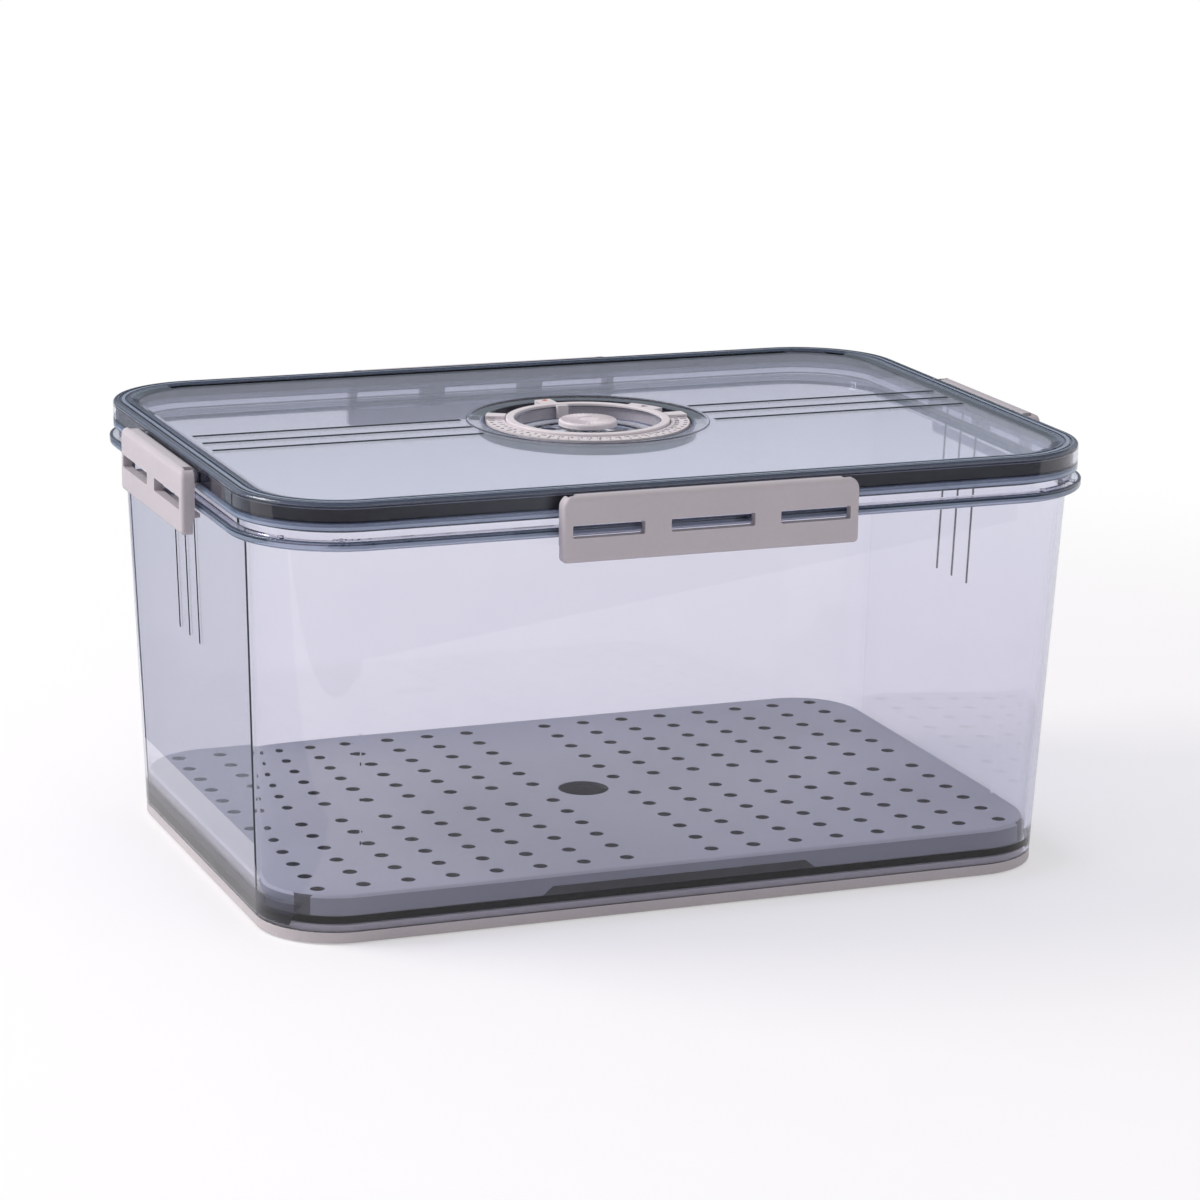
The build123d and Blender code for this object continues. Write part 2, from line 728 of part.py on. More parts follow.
# The month ring: a rounded bead over the cup wall, a skirt round it and a finger tab inside
with BuildPart() as month_ring:
    ring(month_outer_radius, month_inner_radius, month_bead_underside, month_top)
    fillet(month_ring.edges().group_by(Axis.Z)[-1], month_round)
    skirt_inner_radius = month_outer_radius - month_skirt_wall
    ring(month_outer_radius, skirt_inner_radius, well_floor_top, month_bead_underside)
    tab_half_angle = math.degrees(month_tab_width / 2 / month_inner_radius)
    tab_start = month_tab_angle - tab_half_angle
    tab_end = month_tab_angle + tab_half_angle
    tab_outer = cup_outer_radius - cup_wall - month_tab_gap
    tab_inner = tab_outer - month_tab_thickness
    tab_bottom = cup_floor_top + month_tab_drop
    tab_top = month_top - month_round
    with BuildSketch(Plane.XY.offset(tab_bottom)) as tab:
        sector(tab_inner, tab_outer, tab_start, tab_end)
    extrude(tab.sketch, amount=tab_top - tab_bottom)
    with BuildSketch(Plane.XY.offset(month_bead_underside)) as bridge:
        sector(tab_inner, month_inner_radius + month_tab_overlap, tab_start, tab_end)
    extrude(bridge.sketch, amount=tab_top - month_bead_underside)
finish(month_ring, "month_ring")

# The vent valve: a ribbed button on a clear stem that carries the seal, with a return spring
with BuildPart() as vent_button:
    ring(button_radius, 0, button_underside, button_top)
    fillet(vent_button.edges().group_by(Axis.Z)[-1], button_round)
    ring(button_boss_radius, 0, button_underside - button_boss, button_underside)
    ring(stem_radius + stem_seat_gap, 0, button_underside - button_boss, stem_top, Mode.SUBTRACT)
    rib_length = button_radius - button_round - button_rib_inner
    with BuildSketch(Plane.XY.offset(button_top)):
        with PolarLocations(button_rib_inner + rib_length / 2, button_rib_count):
            Rectangle(rib_length, button_rib_width)
    extrude(amount=button_rib_height)
finish(vent_button, "vent_button")

with BuildPart() as vent_stem:
    ring(stem_radius, 0, hub_bottom - seal_thickness, stem_top)
    ring(stem_head_radius, 0, hub_bottom - seal_thickness - stem_head, hub_bottom - seal_thickness)
finish(vent_stem, "vent_stem")

with BuildPart() as vent_seal:
    ring(seal_radius, stem_radius + stem_seat_gap, hub_bottom - seal_thickness, hub_bottom)
finish(vent_seal, "vent_seal")

spring_height = button_underside - spring_seat - 2 * spring_wire_radius
with BuildPart() as vent_spring:
    with BuildLine() as coil:
        Helix(
            pitch=spring_height / spring_turns,
            height=spring_height,
            radius=spring_mean_radius,
            center=(0, 0, spring_seat + spring_wire_radius),
        )
    with BuildSketch(Plane(origin=coil.line @ 0, z_dir=coil.line % 0)):
        Circle(spring_wire_radius)
    sweep(path=coil.line, is_frenet=True)
finish(vent_spring, "vent_spring")
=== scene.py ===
import math

import bmesh
import bpy
from mathutils import Matrix, Vector


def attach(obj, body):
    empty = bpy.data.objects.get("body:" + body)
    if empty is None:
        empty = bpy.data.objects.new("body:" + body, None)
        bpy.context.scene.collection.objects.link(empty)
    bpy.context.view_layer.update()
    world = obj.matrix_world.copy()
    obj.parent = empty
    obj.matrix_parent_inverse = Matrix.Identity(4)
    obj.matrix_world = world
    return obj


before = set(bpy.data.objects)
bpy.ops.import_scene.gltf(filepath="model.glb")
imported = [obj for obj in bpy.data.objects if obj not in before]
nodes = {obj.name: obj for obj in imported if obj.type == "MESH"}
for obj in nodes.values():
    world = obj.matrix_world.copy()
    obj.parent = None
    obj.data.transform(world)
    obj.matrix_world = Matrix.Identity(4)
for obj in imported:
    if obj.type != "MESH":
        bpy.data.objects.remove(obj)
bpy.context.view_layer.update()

scene = bpy.context.scene

# The camera stands where the photograph was taken from. Its place was solved from the
# keeper's edges, so it is given as an angle and a distance round a point inside the keeper.
TARGET = Vector((0.0, 0.0, 0.090))
CAMERA_DISTANCE = 1.663
CAMERA_AZIMUTH = math.radians(21.46)
CAMERA_ELEVATION = math.radians(13.89)
CAMERA_ROLL = math.radians(0.88)
CAMERA_RIGHT = 0.00597
CAMERA_UP = 0.00607
SENSOR = 36.0
LENS = 4163.0 / 1200.0 * SENSOR


def make_camera():
    """A camera on the photograph's line of sight."""
    back = Vector(
        (
            -math.sin(CAMERA_AZIMUTH) * math.cos(CAMERA_ELEVATION),
            -math.cos(CAMERA_AZIMUTH) * math.cos(CAMERA_ELEVATION),
            math.sin(CAMERA_ELEVATION),
        )
    )
    right = (-back).cross(Vector((0, 0, 1))).normalized()
    up = right.cross(-back)
    rolled_right = right * math.cos(CAMERA_ROLL) + up * math.sin(CAMERA_ROLL)
    rolled_up = up * math.cos(CAMERA_ROLL) - right * math.sin(CAMERA_ROLL)
    place = TARGET + back * CAMERA_DISTANCE + rolled_right * CAMERA_RIGHT + rolled_up * CAMERA_UP
    data = bpy.data.cameras.new("camera")
    data.sensor_width = SENSOR
    data.lens = LENS
    data.clip_end = 50.0
    camera = bpy.data.objects.new("camera", data)
    turn = Matrix((rolled_right, rolled_up, back)).transposed().to_4x4()
    camera.matrix_world = Matrix.Translation(place) @ turn
    scene.collection.objects.link(camera)
    scene.camera = camera


def area_light(name, place, aim, size, power, colour):
    """A soft square lamp that points at a place."""
    data = bpy.data.lights.new(name, "AREA")
    data.shape = "SQUARE"
    data.size = size
    data.energy = power
    data.color = colour
    lamp = bpy.data.objects.new(name, data)
    direction = Vector(aim) - Vector(place)
    turn = direction.to_track_quat("-Z", "Y").to_matrix().to_4x4()
    lamp.matrix_world = Matrix.Translation(Vector(place)) @ turn
    scene.collection.objects.link(lamp)
    return lamp


class Tree:
    """A material's node tree, with short calls for the nodes that the materials share."""

    def __init__(self, name):
        self.material = bpy.data.materials.new(name)
        self.material.use_nodes = True
        self.tree = self.material.node_tree
        self.tree.nodes.clear()
        self.output = self.add("ShaderNodeOutputMaterial")
        self.place = self.add("ShaderNodeTexCoord").outputs["Object"]

    def add(self, kind, settings=None, **inputs):
        """A node with its settings, and its inputs as values or as links from other sockets."""
        made = self.tree.nodes.new(kind)
        for key, value in (settings or {}).items():
            setattr(made, key, value)
        for key, value in inputs.items():
            self.set(made, key.replace("_", " "), value)
        return made

    def set(self, made, socket, value):
        """Sets one input, by a value or by a link."""
        target = made.inputs[int(socket)] if socket.isdigit() else made.inputs[socket]
        if isinstance(value, bpy.types.NodeSocket):
            self.tree.links.new(value, target)
        else:
            target.default_value = value

    def noise(self, scale, detail=3.0, roughness=0.5, stretch=None):
        """A noise over the object's own coordinates, with a number from 0 to 1."""
        place = self.place
        if stretch is not None:
            place = self.add("ShaderNodeMapping", Vector=place, Scale=stretch).outputs[0]
        made = self.add("ShaderNodeTexNoise", Vector=place, Scale=scale, Detail=detail)
        made.inputs["Roughness"].default_value = roughness
        return made.outputs["Fac"]

    def spread(self, value, low, high, start=0.3, end=0.7):
        """Maps a number between two limits."""
        made = self.add("ShaderNodeMapRange", Value=value)
        made.inputs["From Min"].default_value = start
        made.inputs["From Max"].default_value = end
        made.inputs["To Min"].default_value = low
        made.inputs["To Max"].default_value = high
        return made.outputs[0]

    def colours(self, value, low, high):
        """Mixes two colours by a number."""
        made = self.add("ShaderNodeMix", {"data_type": "RGBA"})
        self.tree.links.new(value, made.inputs[0])
        made.inputs[6].default_value = (*low, 1)
        made.inputs[7].default_value = (*high, 1)
        return made.outputs[2]

    def math(self, operation, first, second):
        """One sum of two numbers."""
        made = self.add("ShaderNodeMath", {"operation": operation})
        self.set(made, "0", first)
        self.set(made, "1", second)
        return made.outputs[0]

    def between(self, value, low, high):
        """1 where a number lies between two limits."""
        above = self.math("GREATER_THAN", value, low)
        return self.math("MULTIPLY", above, self.math("LESS_THAN", value, high))

    def solid_place(self):
        """The distances from the middle along X and Y, the height, the distance out from the
        centres of the lid's corner arcs, and the radius round the dial."""
        where = self.add("ShaderNodeSeparateXYZ", Vector=self.place)
        aside = {axis: self.math("ABSOLUTE", where.outputs[axis], 0.0) for axis in "XY"}
        past_x = self.math("MAXIMUM", self.math("SUBTRACT", aside["X"], CORNER_X), 0.0)
        past_y = self.math("MAXIMUM", self.math("SUBTRACT", aside["Y"], CORNER_Y), 0.0)
        return {
            "x": aside["X"],
            "y": aside["Y"],
            "height": where.outputs["Z"],
            "out": self.hypotenuse(past_x, past_y),
            "radius": self.hypotenuse(aside["X"], aside["Y"]),
        }

    def hypotenuse(self, first, second):
        """The length of two sides taken at right angles."""
        square = self.math("MULTIPLY", first, first)
        other = self.math("MULTIPLY", second, second)
        return self.math("SQRT", self.math("ADD", square, other), 0.0)

    def bump(self, height, strength, distance, normal=None):
        """A bump from a height in metres times the distance."""
        made = self.add("ShaderNodeBump", Strength=strength, Distance=distance, Height=height)
        if normal is not None:
            self.tree.links.new(normal, made.inputs["Normal"])
        return made.outputs[0]


def moulded(name, colour, spread=0.05, rough=(0.38, 0.5), grain=2600.0, shine_level=0.4, shades=()):
    """Opaque moulded plastic or rubber: faint clouds in its colour and a fine grain. The
    shades are places with another colour, each a mask and a colour: here printed marks, painted shade
    and a painted sheen."""
    t = Tree(name)
    cloud = t.noise(14.0, 4.0, 0.55)
    pale = tuple(min(1.0, c * (1 + spread)) for c in colour)
    deep = tuple(c * (1 - spread) for c in colour)
    speck = t.noise(grain * 0.35, 2.0)
    both = t.math("ADD", t.math("MULTIPLY", cloud, 0.7), t.math("MULTIPLY", speck, 0.3))
    tint = t.colours(t.spread(both, 0.0, 1.0, 0.38, 0.62), deep, pale)
    place = t.solid_place()
    for mask, shade in shades:
        mixed = t.add("ShaderNodeMix", {"data_type": "RGBA"})
        t.tree.links.new(mask(t, place), mixed.inputs[0])
        t.tree.links.new(tint, mixed.inputs[6])
        mixed.inputs[7].default_value = (*shade, 1)
        tint = mixed.outputs[2]
    shine = t.spread(t.noise(55.0, 4.0, 0.6), rough[0], rough[1])
    fine = t.bump(t.noise(grain, 2.0), 0.35, GRAIN_HEIGHT)
    wavy = t.bump(t.noise(22.0, 2.0), 0.25, 0.0002, fine)
    shader = t.add("ShaderNodeBsdfPrincipled", Roughness=shine, Normal=wavy)
    t.set(shader, "Base Color", tint)
    shader.inputs["Specular IOR Level"].default_value = shine_level
    t.set(t.output, "Surface", shader.outputs[0])
    return t.material


def tray_inside(t, place):
    """The walls of the tray's holes, painted dark: painted shade."""
    along = t.math("LESS_THAN", place["x"], HOLES_X)
    across = t.math("LESS_THAN", place["y"], HOLES_Y)
    below = t.math("LESS_THAN", place["height"], HOLES_TOP)
    return t.math("MULTIPLY", t.math("MULTIPLY", along, across), below)


def clear(name, inside, density, bands=()):
    """Clear tinted plastic. Its depth of colour comes from what it absorbs, so thin walls are
    pale and edges seen lengthways are dark. Lamps shine through it. The bands are painted light and
    painted shade on its grooves and edges:
    opaque dark lines and pale strips that stand for the light these bend and reflect lengthways, each
    with a mask, a colour and a strength."""
    t = Tree(name)
    shine = t.spread(t.noise(30.0, 5.0, 0.65), 0.0, CLEAR_ROUGHNESS, 0.35, 0.8)
    flow = t.bump(t.noise(9.0, 2.0, 0.4, stretch=(1.0, 1.0, 0.35)), 0.3, FLOW_HEIGHT)
    haze = t.colours(t.spread(t.noise(40.0, 5.0, 0.6), 0.0, 1.0), HAZE_LOW, HAZE_HIGH)
    shader = t.add("ShaderNodeBsdfPrincipled", Roughness=shine, Normal=flow)
    t.set(shader, "Base Color", haze)
    shader.inputs["Transmission Weight"].default_value = 1.0
    shader.inputs["IOR"].default_value = 1.49
    through = t.add("ShaderNodeBsdfTransparent", Color=(*LAMP_FILM, 1))
    path = t.add("ShaderNodeLightPath")
    unseen = t.math("MAXIMUM", path.outputs["Is Shadow Ray"], path.outputs["Is Diffuse Ray"])
    surface = t.add("ShaderNodeMixShader")
    t.set(surface, "0", unseen)
    t.set(surface, "1", shader.outputs[0])
    t.set(surface, "2", through.outputs[0])
    place = t.solid_place()
    # Each band mixes an opaque colour over the clear plastic: painted shade or painted light
    for mask, colour, strength in bands:
        deep = tuple(c * 0.92 for c in colour)
        gloss = t.spread(t.noise(30.0), 0.15, 0.25)
        edge = t.add("ShaderNodeBsdfPrincipled", Roughness=gloss, Normal=flow)
        t.set(edge, "Base Color", t.colours(t.noise(60.0, 4.0), deep, colour))
        mixed = t.add("ShaderNodeMixShader")
        t.set(mixed, "0", t.math("MULTIPLY", mask(t, place), strength))
        t.set(mixed, "1", surface.outputs[0])
        t.set(mixed, "2", edge.outputs[0])
        surface = mixed
    t.set(t.output, "Surface", surface.outputs[0])
    dark = t.add("ShaderNodeVolumeAbsorption", Color=(*inside, 1), Density=density)
    t.set(t.output, "Volume", dark.outputs[0])
    return t.material


def edge_band(low, high, inner, outer=1.0):
    """A mask between two heights, and between two distances out from the corners' centres."""

    def mask(t, place):
        level = t.between(place["height"], low, high)
        return t.math("MULTIPLY", level, t.between(place["out"], inner, outer))

    return mask


def round_band(low, high, inner, outer):
    """A mask between two heights, and between two radii round the dial."""

    def mask(t, place):
        level = t.between(place["height"], low, high)
        return t.math("MULTIPLY", level, t.between(place["radius"], inner, outer))

    return mask


def groove_rows(t, place, half):
    """1 within half a line's width of one of the three rows."""
    outer = t.math("ABSOLUTE", t.math("SUBTRACT", place["y"], GROOVE_PITCH), 0.0)
    return t.math("LESS_THAN", t.math("MINIMUM", place["y"], outer), half)


def lid_grooves(t, place):
    """Where the lid is painted dark along its grooves, from the dial's well to the frame: painted
    shade, wider than the grooves, for the dark they show by bending the light.
    """
    inside = t.between(place["x"], LID_GROOVE_START, LID_GROOVE_END)
    inside = t.math("MULTIPLY", inside, t.between(place["height"], LID_GROOVE_LOW, LID_GROOVE_HIGH))
    return t.math("MULTIPLY", inside, groove_rows(t, place, LID_GROOVE_HALF))


def tub_grooves(t, place):
    """Where the tub is painted dark along the grooves down its short walls and across its rim:
    painted shade for the dark the grooves show by bending the light. A wall leans, so its face is
    further out the higher it is."""
    lean = t.math("MULTIPLY", place["height"], WALL_LEAN)
    face = t.math("SUBTRACT", place["x"], lean)
    wall = t.between(place["height"], WALL_GROOVE_LOW, FLANGE_LOW)
    wall = t.math("MULTIPLY", wall, t.math("GREATER_THAN", face, WALL_FOOT - GROOVE_REACH))
    above = t.math("GREATER_THAN", place["height"], FLANGE_HIGH)
    rim = t.math("MULTIPLY", above, t.math("GREATER_THAN", place["x"], RIM_OUT - GROOVE_REACH))
    return t.math("MULTIPLY", t.math("MAXIMUM", wall, rim), groove_rows(t, place, TUB_GROOVE_HALF))


def steel(name):
    """Plain drawn wire and pins."""
    t = Tree(name)
    streak = t.noise(900.0, 3.0, 0.6, stretch=(1.0, 1.0, 0.05))
    tint = t.colours(streak, (0.50, 0.50, 0.52), (0.72, 0.72, 0.73))
    shader = t.add("ShaderNodeBsdfPrincipled", Roughness=t.spread(streak, 0.22, 0.4))
    t.set(shader, "Base Color", tint)
    shader.inputs["Metallic"].default_value = 1.0
    t.set(shader, "Normal", t.bump(streak, 0.2, 0.00002))
    t.set(t.output, "Surface", shader.outputs[0])
    return t.material


def add_piece(name, mesh, material, body):
    """Puts a finished mesh in the scene as a piece of the keeper that moves with a body."""
    mesh.materials.clear()
    mesh.materials.append(material)
    piece = bpy.data.objects.new(name, mesh)
    scene.collection.objects.link(piece)
    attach(piece, body)
    return piece


def lettering(text, size, thickness):
    """The mesh of a short text, centred on the origin."""
    curve = bpy.data.curves.new("text", "FONT")
    curve.body = text
    curve.size = size
    curve.extrude = thickness / 2
    curve.align_x = "CENTER"
    curve.align_y = "CENTER"
    curve.resolution_u = 3
    holder = bpy.data.objects.new("text", curve)
    scene.collection.objects.link(holder)
    view = bpy.context.evaluated_depsgraph_get()
    mesh = bpy.data.meshes.new_from_object(holder.evaluated_get(view))
    bpy.data.objects.remove(holder)
    bpy.data.curves.remove(curve)
    return mesh


def make_date_numbers():
    """The numbers 1 to 31 round the front of the date ring, inside its marks."""
    joined = bmesh.new()
    for number in range(1, DAYS + 1):
        angle = SCALE_FROM + (number - 0.5) * (SCALE_TO - SCALE_FROM) / DAYS
        mesh = lettering(str(number), NUMBER_SIZE, INK_THICKNESS)
        place = Vector((math.cos(angle) * NUMBER_RADIUS, math.sin(angle) * NUMBER_RADIUS, INK_HEIGHT))
        turn = Matrix.Rotation(angle + math.pi / 2, 4, "Z")
        mesh.transform(Matrix.Translation(place) @ turn)
        joined.from_mesh(mesh)
        bpy.data.meshes.remove(mesh)
    numbers = bpy.data.meshes.new("date_numbers")
    joined.to_mesh(numbers)
    joined.free()
    add_piece("date_numbers", numbers, ink, "date_dial")


def make_pointer():
    """A small printed pointer on the date ring's marker plate."""
    shape = bmesh.new()
    corners = []
    outline = ((POINTER_TIP, 0.0), (POINTER_BASE, POINTER_HALF), (POINTER_BASE, -POINTER_HALF))
    for height in (INK_HEIGHT - INK_THICKNESS / 2, INK_HEIGHT + INK_THICKNESS / 2):
        for radius, aside in outline:
            place = Vector((radius, aside, height))
            corners.append(shape.verts.new(Matrix.Rotation(POINTER_ANGLE, 3, "Z") @ place))
    shape.faces.new((corners[2], corners[1], corners[0]))
    shape.faces.new(corners[3:])
    for first, second in ((0, 1), (1, 2), (2, 0)):
        shape.faces.new((corners[first], corners[second], corners[second + 3], corners[first + 3]))
    bmesh.ops.recalc_face_normals(shape, faces=shape.faces)
    mesh = bpy.data.meshes.new("date_pointer")
    shape.to_mesh(mesh)
    shape.free()
    add_piece("date_pointer", mesh, ink, "date_dial")


def floor_material():
    """A pale floor that keeps the shadow near the keeper and turns white further out."""
    t = Tree("floor")
    grain = t.noise(3.0, 4.0)
    tint = t.colours(grain, (0.90, 0.865, 0.90), (0.92, 0.885, 0.92))
    shader = t.add("ShaderNodeBsdfPrincipled", Roughness=t.spread(t.noise(40.0), 0.55, 0.65))
    t.set(shader, "Base Color", tint)
    shader.inputs["Specular IOR Level"].default_value = 0.2
    t.set(shader, "Normal", t.bump(t.noise(400.0), 0.1, 0.0001))
    apart = t.add("ShaderNodeVectorMath", {"operation": "LENGTH"})
    flat = t.add("ShaderNodeMapping", Vector=t.place, Location=FADE_CENTRE, Scale=(1.0, 1.0, 0.0))
    t.set(apart, "0", flat.outputs[0])
    distance = apart.outputs["Value"]
    ramp = t.add("ShaderNodeMapRange", {"interpolation_type": "SMOOTHSTEP"}, Value=distance)
    ramp.inputs["From Min"].default_value = FADE_START
    ramp.inputs["From Max"].default_value = FADE_END
    ramp.inputs["To Min"].default_value = FADE_LEAST
    path = t.add("ShaderNodeLightPath")
    seen = t.math("MAXIMUM", path.outputs["Is Camera Ray"], path.outputs["Is Glossy Ray"])
    seen = t.math("MAXIMUM", seen, path.outputs["Is Transmission Ray"])
    white = t.add("ShaderNodeEmission", Color=(1, 1, 1, 1), Strength=1.0)
    mixed = t.add("ShaderNodeMixShader")
    t.set(mixed, "0", t.math("MULTIPLY", ramp.outputs[0], seen))
    t.set(mixed, "1", shader.outputs[0])
    t.set(mixed, "2", white.outputs[0])
    t.set(t.output, "Surface", mixed.outputs[0])
    return t.material


def make_floor():
    """A wide flat floor at the height of the pads' undersides."""
    mesh = bpy.data.meshes.new("floor")
    half = FLOOR_HALF
    mesh.from_pydata(
        [(-half, -half, 0), (half, -half, 0), (half, half, 0), (-half, half, 0)], [], [(0, 1, 2, 3)]
    )
    mesh.materials.append(floor_material())
    floor = bpy.data.objects.new("floor", mesh)
    floor.location.z = FLOOR_DROP
    scene.collection.objects.link(floor)


def make_card(name, corners, low, high, through=False, axis=2):
    """A studio card that shows only in reflections on the keeper, and in the light that its
    clear edges bend, as the room round the photographer's white table does. Its brightness
    runs from low to high between its least and greatest place on an axis: 0 is X, 2 is Z."""
    mesh = bpy.data.meshes.new(name)
    mesh.from_pydata(corners, [], [tuple(range(len(corners)))])
    t = Tree(name)
    cloth = t.colours(t.noise(4.0, 3.0), (0.80, 0.90, 1.04), (0.86, 0.96, 1.10))
    foot = min(corner[axis] for corner in corners)
    head = max(corner[axis] for corner in corners)
    where = t.add("ShaderNodeSeparateXYZ", Vector=t.place)
    along = where.outputs[axis]
    ramp = t.add("ShaderNodeMapRange", {"interpolation_type": "SMOOTHSTEP"}, Value=along)
    ramp.inputs["From Min"].default_value = foot
    ramp.inputs["From Max"].default_value = head + CARD_MARGIN
    ramp.inputs["To Min"].default_value = low
    ramp.inputs["To Max"].default_value = high
    glow = t.add("ShaderNodeEmission", Color=cloth, Strength=ramp.outputs[0])
    t.set(t.output, "Surface", glow.outputs[0])
    mesh.materials.append(t.material)
    card = bpy.data.objects.new(name, mesh)
    card.visible_camera = False
    card.visible_diffuse = False
    card.visible_transmission = through
    card.visible_shadow = False
    scene.collection.objects.link(card)


def upright_card(left, right, y, low, high):
    """The corners of an upright card that faces the keeper's front or back."""
    return [(left, y, low), (right, y, low), (right, y, high), (left, y, high)]


def flat_card(left, right, front, back, high):
    """The corners of a level card."""
    return [(left, front, high), (right, front, high), (right, back, high), (left, back, high)]


def make_world():
    """White to the camera, to reflections and through the clear plastic, and a plain level of
    light for everything else."""
    world = bpy.data.worlds.new("world")
    world.use_nodes = True
    tree = world.node_tree
    tree.nodes.clear()
    output = tree.nodes.new("ShaderNodeOutputWorld")
    path = tree.nodes.new("ShaderNodeLightPath")
    first = tree.nodes.new("ShaderNodeMath")
    first.operation = "MAXIMUM"
    second = tree.nodes.new("ShaderNodeMath")
    second.operation = "MAXIMUM"
    tree.links.new(path.outputs["Is Camera Ray"], first.inputs[0])
    tree.links.new(path.outputs["Is Glossy Ray"], first.inputs[1])
    tree.links.new(first.outputs[0], second.inputs[0])
    tree.links.new(path.outputs["Is Transmission Ray"], second.inputs[1])
    light = tree.nodes.new("ShaderNodeBackground")
    light.inputs["Color"].default_value = (1.0, 1.0, 1.0, 1)
    light.inputs["Strength"].default_value = WORLD_LIGHT
    white = tree.nodes.new("ShaderNodeBackground")
    white.inputs["Color"].default_value = (1, 1, 1, 1)
    white.inputs["Strength"].default_value = 1.0
    mixed = tree.nodes.new("ShaderNodeMixShader")
    tree.links.new(second.outputs[0], mixed.inputs[0])
    tree.links.new(light.outputs[0], mixed.inputs[1])
    tree.links.new(white.outputs[0], mixed.inputs[2])
    tree.links.new(mixed.outputs[0], output.inputs["Surface"])
    scene.world = world


FLOOR_HALF = 12.0
FLOOR_DROP = -0.0002
FADE_CENTRE = (-0.05, 0.0, 0.0)
FADE_START = 0.30
FADE_END = 0.75
FADE_LEAST = 0.45
WORLD_LIGHT = 0.6

# The studio cards, in metres. A margin keeps a level card's brightness from dividing by zero.
CARD_MARGIN = 0.0001
BACK_LEFT = -3.0
BACK_RIGHT = 3.5
BACK_Y = 2.0
EDGE_CARD_HIGH = 0.001
TABLE_CARD_HIGH = 0.002
CEILING_HIGH = 2.2

# What the materials share: heights of grain and flow, the clear plastic's roughness at most,
# and what a lamp's light loses in each of its faces
GRAIN_HEIGHT = 0.00002
FLOW_HEIGHT = 0.00004
CLEAR_ROUGHNESS = 0.03
LAMP_FILM = (0.97, 0.97, 0.98)

# The keeper's own sizes that the painted bands and shades go by, in metres. The ones called out are
# distances out from the centres of the lid's corner arcs.
CORNER_X = 0.130
CORNER_Y = 0.081
GROOVE_PITCH = 0.0138
LID_GROOVE_HALF = 0.0016
TUB_GROOVE_HALF = 0.0007
GROOVE_REACH = 0.0008
LID_GROOVE_START = 0.0484
LID_GROOVE_END = 0.1576
LID_GROOVE_LOW = 0.16900
LID_GROOVE_HIGH = 0.16975
WALL_GROOVE_LOW = 0.0947
WALL_FOOT = 0.15952
WALL_LEAN = 0.03914
FLANGE_LOW = 0.1527
FLANGE_HIGH = 0.15655
RIM_OUT = 0.1679
FLANGE_OUT = 0.0402
FLANGE_UNDER = 0.0385
FOOT_OUT = 0.0268
SKIRT_OUT = 0.0381
HOLES_X = 0.150
HOLES_Y = 0.098
HOLES_TOP = 0.0182
TRAY_EDGE = 0.0173
SEAL_RIM_LOW = 0.1681
SEAL_RIM_HIGH = 0.1684
ALL_ROUND = -1.0

HAZE_LOW = (0.985, 0.975, 0.99)
HAZE_HIGH = (1.0, 0.99, 1.0)
# Painted shade and painted light: the colours of the clear plastic's painted lines and bands
PAINTED_LINE_DARK = (0.012, 0.013, 0.02)
PAINTED_FOOT_BLACK = (0.004, 0.004, 0.009)
PAINTED_FOOT_DARK = (0.024, 0.027, 0.048)
PAINTED_EDGE_DARK = (0.022, 0.030, 0.058)
PAINTED_EDGE_MID = (0.10, 0.145, 0.23)
PAINTED_EDGE_LIGHT = (0.32, 0.39, 0.52)
PAINTED_FRAME_GREY = (0.125, 0.150, 0.215)

DIAL_COLOUR = (0.67, 0.615, 0.65)
INK_COLOUR = (0.13, 0.12, 0.125)
MARK_LOW = 0.16958
MARK_HIGH = 0.16975
MARK_INNER = 0.0366
MARK_OUTER = 0.0396
DAYS = 31
SCALE_FROM = math.radians(162.0)
SCALE_TO = math.radians(350.0)
NUMBER_SIZE = 0.0026
NUMBER_RADIUS = 0.0353
INK_THICKNESS = 0.00008
INK_HEIGHT = 0.16953
POINTER_ANGLE = math.radians(32.0)
POINTER_TIP = 0.0348
POINTER_BASE = 0.0384
POINTER_HALF = 0.0014

make_camera()
make_world()
make_floor()
area_light("key", (-1.7, 0.75, 1.5), (0, 0, 0.08), 1.1, 46.0, (1.0, 0.985, 0.97))
area_light("fill", (1.2, -1.8, 1.6), (0, 0, 0.08), 1.8, 6.0, (0.97, 0.98, 1.0))

# Dim cards behind the keeper, on the table round it and over it
make_card("back_low", upright_card(BACK_LEFT, BACK_RIGHT, BACK_Y, 0.18, 0.53), 0.25, 0.25)
make_card("back_mid", upright_card(BACK_LEFT, BACK_RIGHT, BACK_Y, 0.53, 0.68), 0.25, 0.62)
make_card("back_high", upright_card(BACK_LEFT, BACK_RIGHT, BACK_Y, 0.68, 1.3), 0.62, 0.7)
table_edge = [
    (-1.5, 0.049, EDGE_CARD_HIGH),
    (1.5, -0.820, EDGE_CARD_HIGH),
    (1.5, -1.3, EDGE_CARD_HIGH),
    (-1.5, -0.55, EDGE_CARD_HIGH),
]
make_card("table_edge", table_edge, 0.12, 0.12)
make_card("front_dark", flat_card(-1.5, 0.04, -1.7, -0.66, TABLE_CARD_HIGH), 0.02, 0.02)
make_card("front_fade", flat_card(0.04, 0.30, -1.7, -0.66, TABLE_CARD_HIGH), 0.02, 0.95, axis=0)
make_card("left_dim", flat_card(-0.80, -0.185, -0.2, 0.9, TABLE_CARD_HIGH), 0.32, 0.32)
make_card("ceiling", flat_card(-3.5, 3.5, -3.5, 3.5, CEILING_HIGH), 0.06, 0.06, through=True)
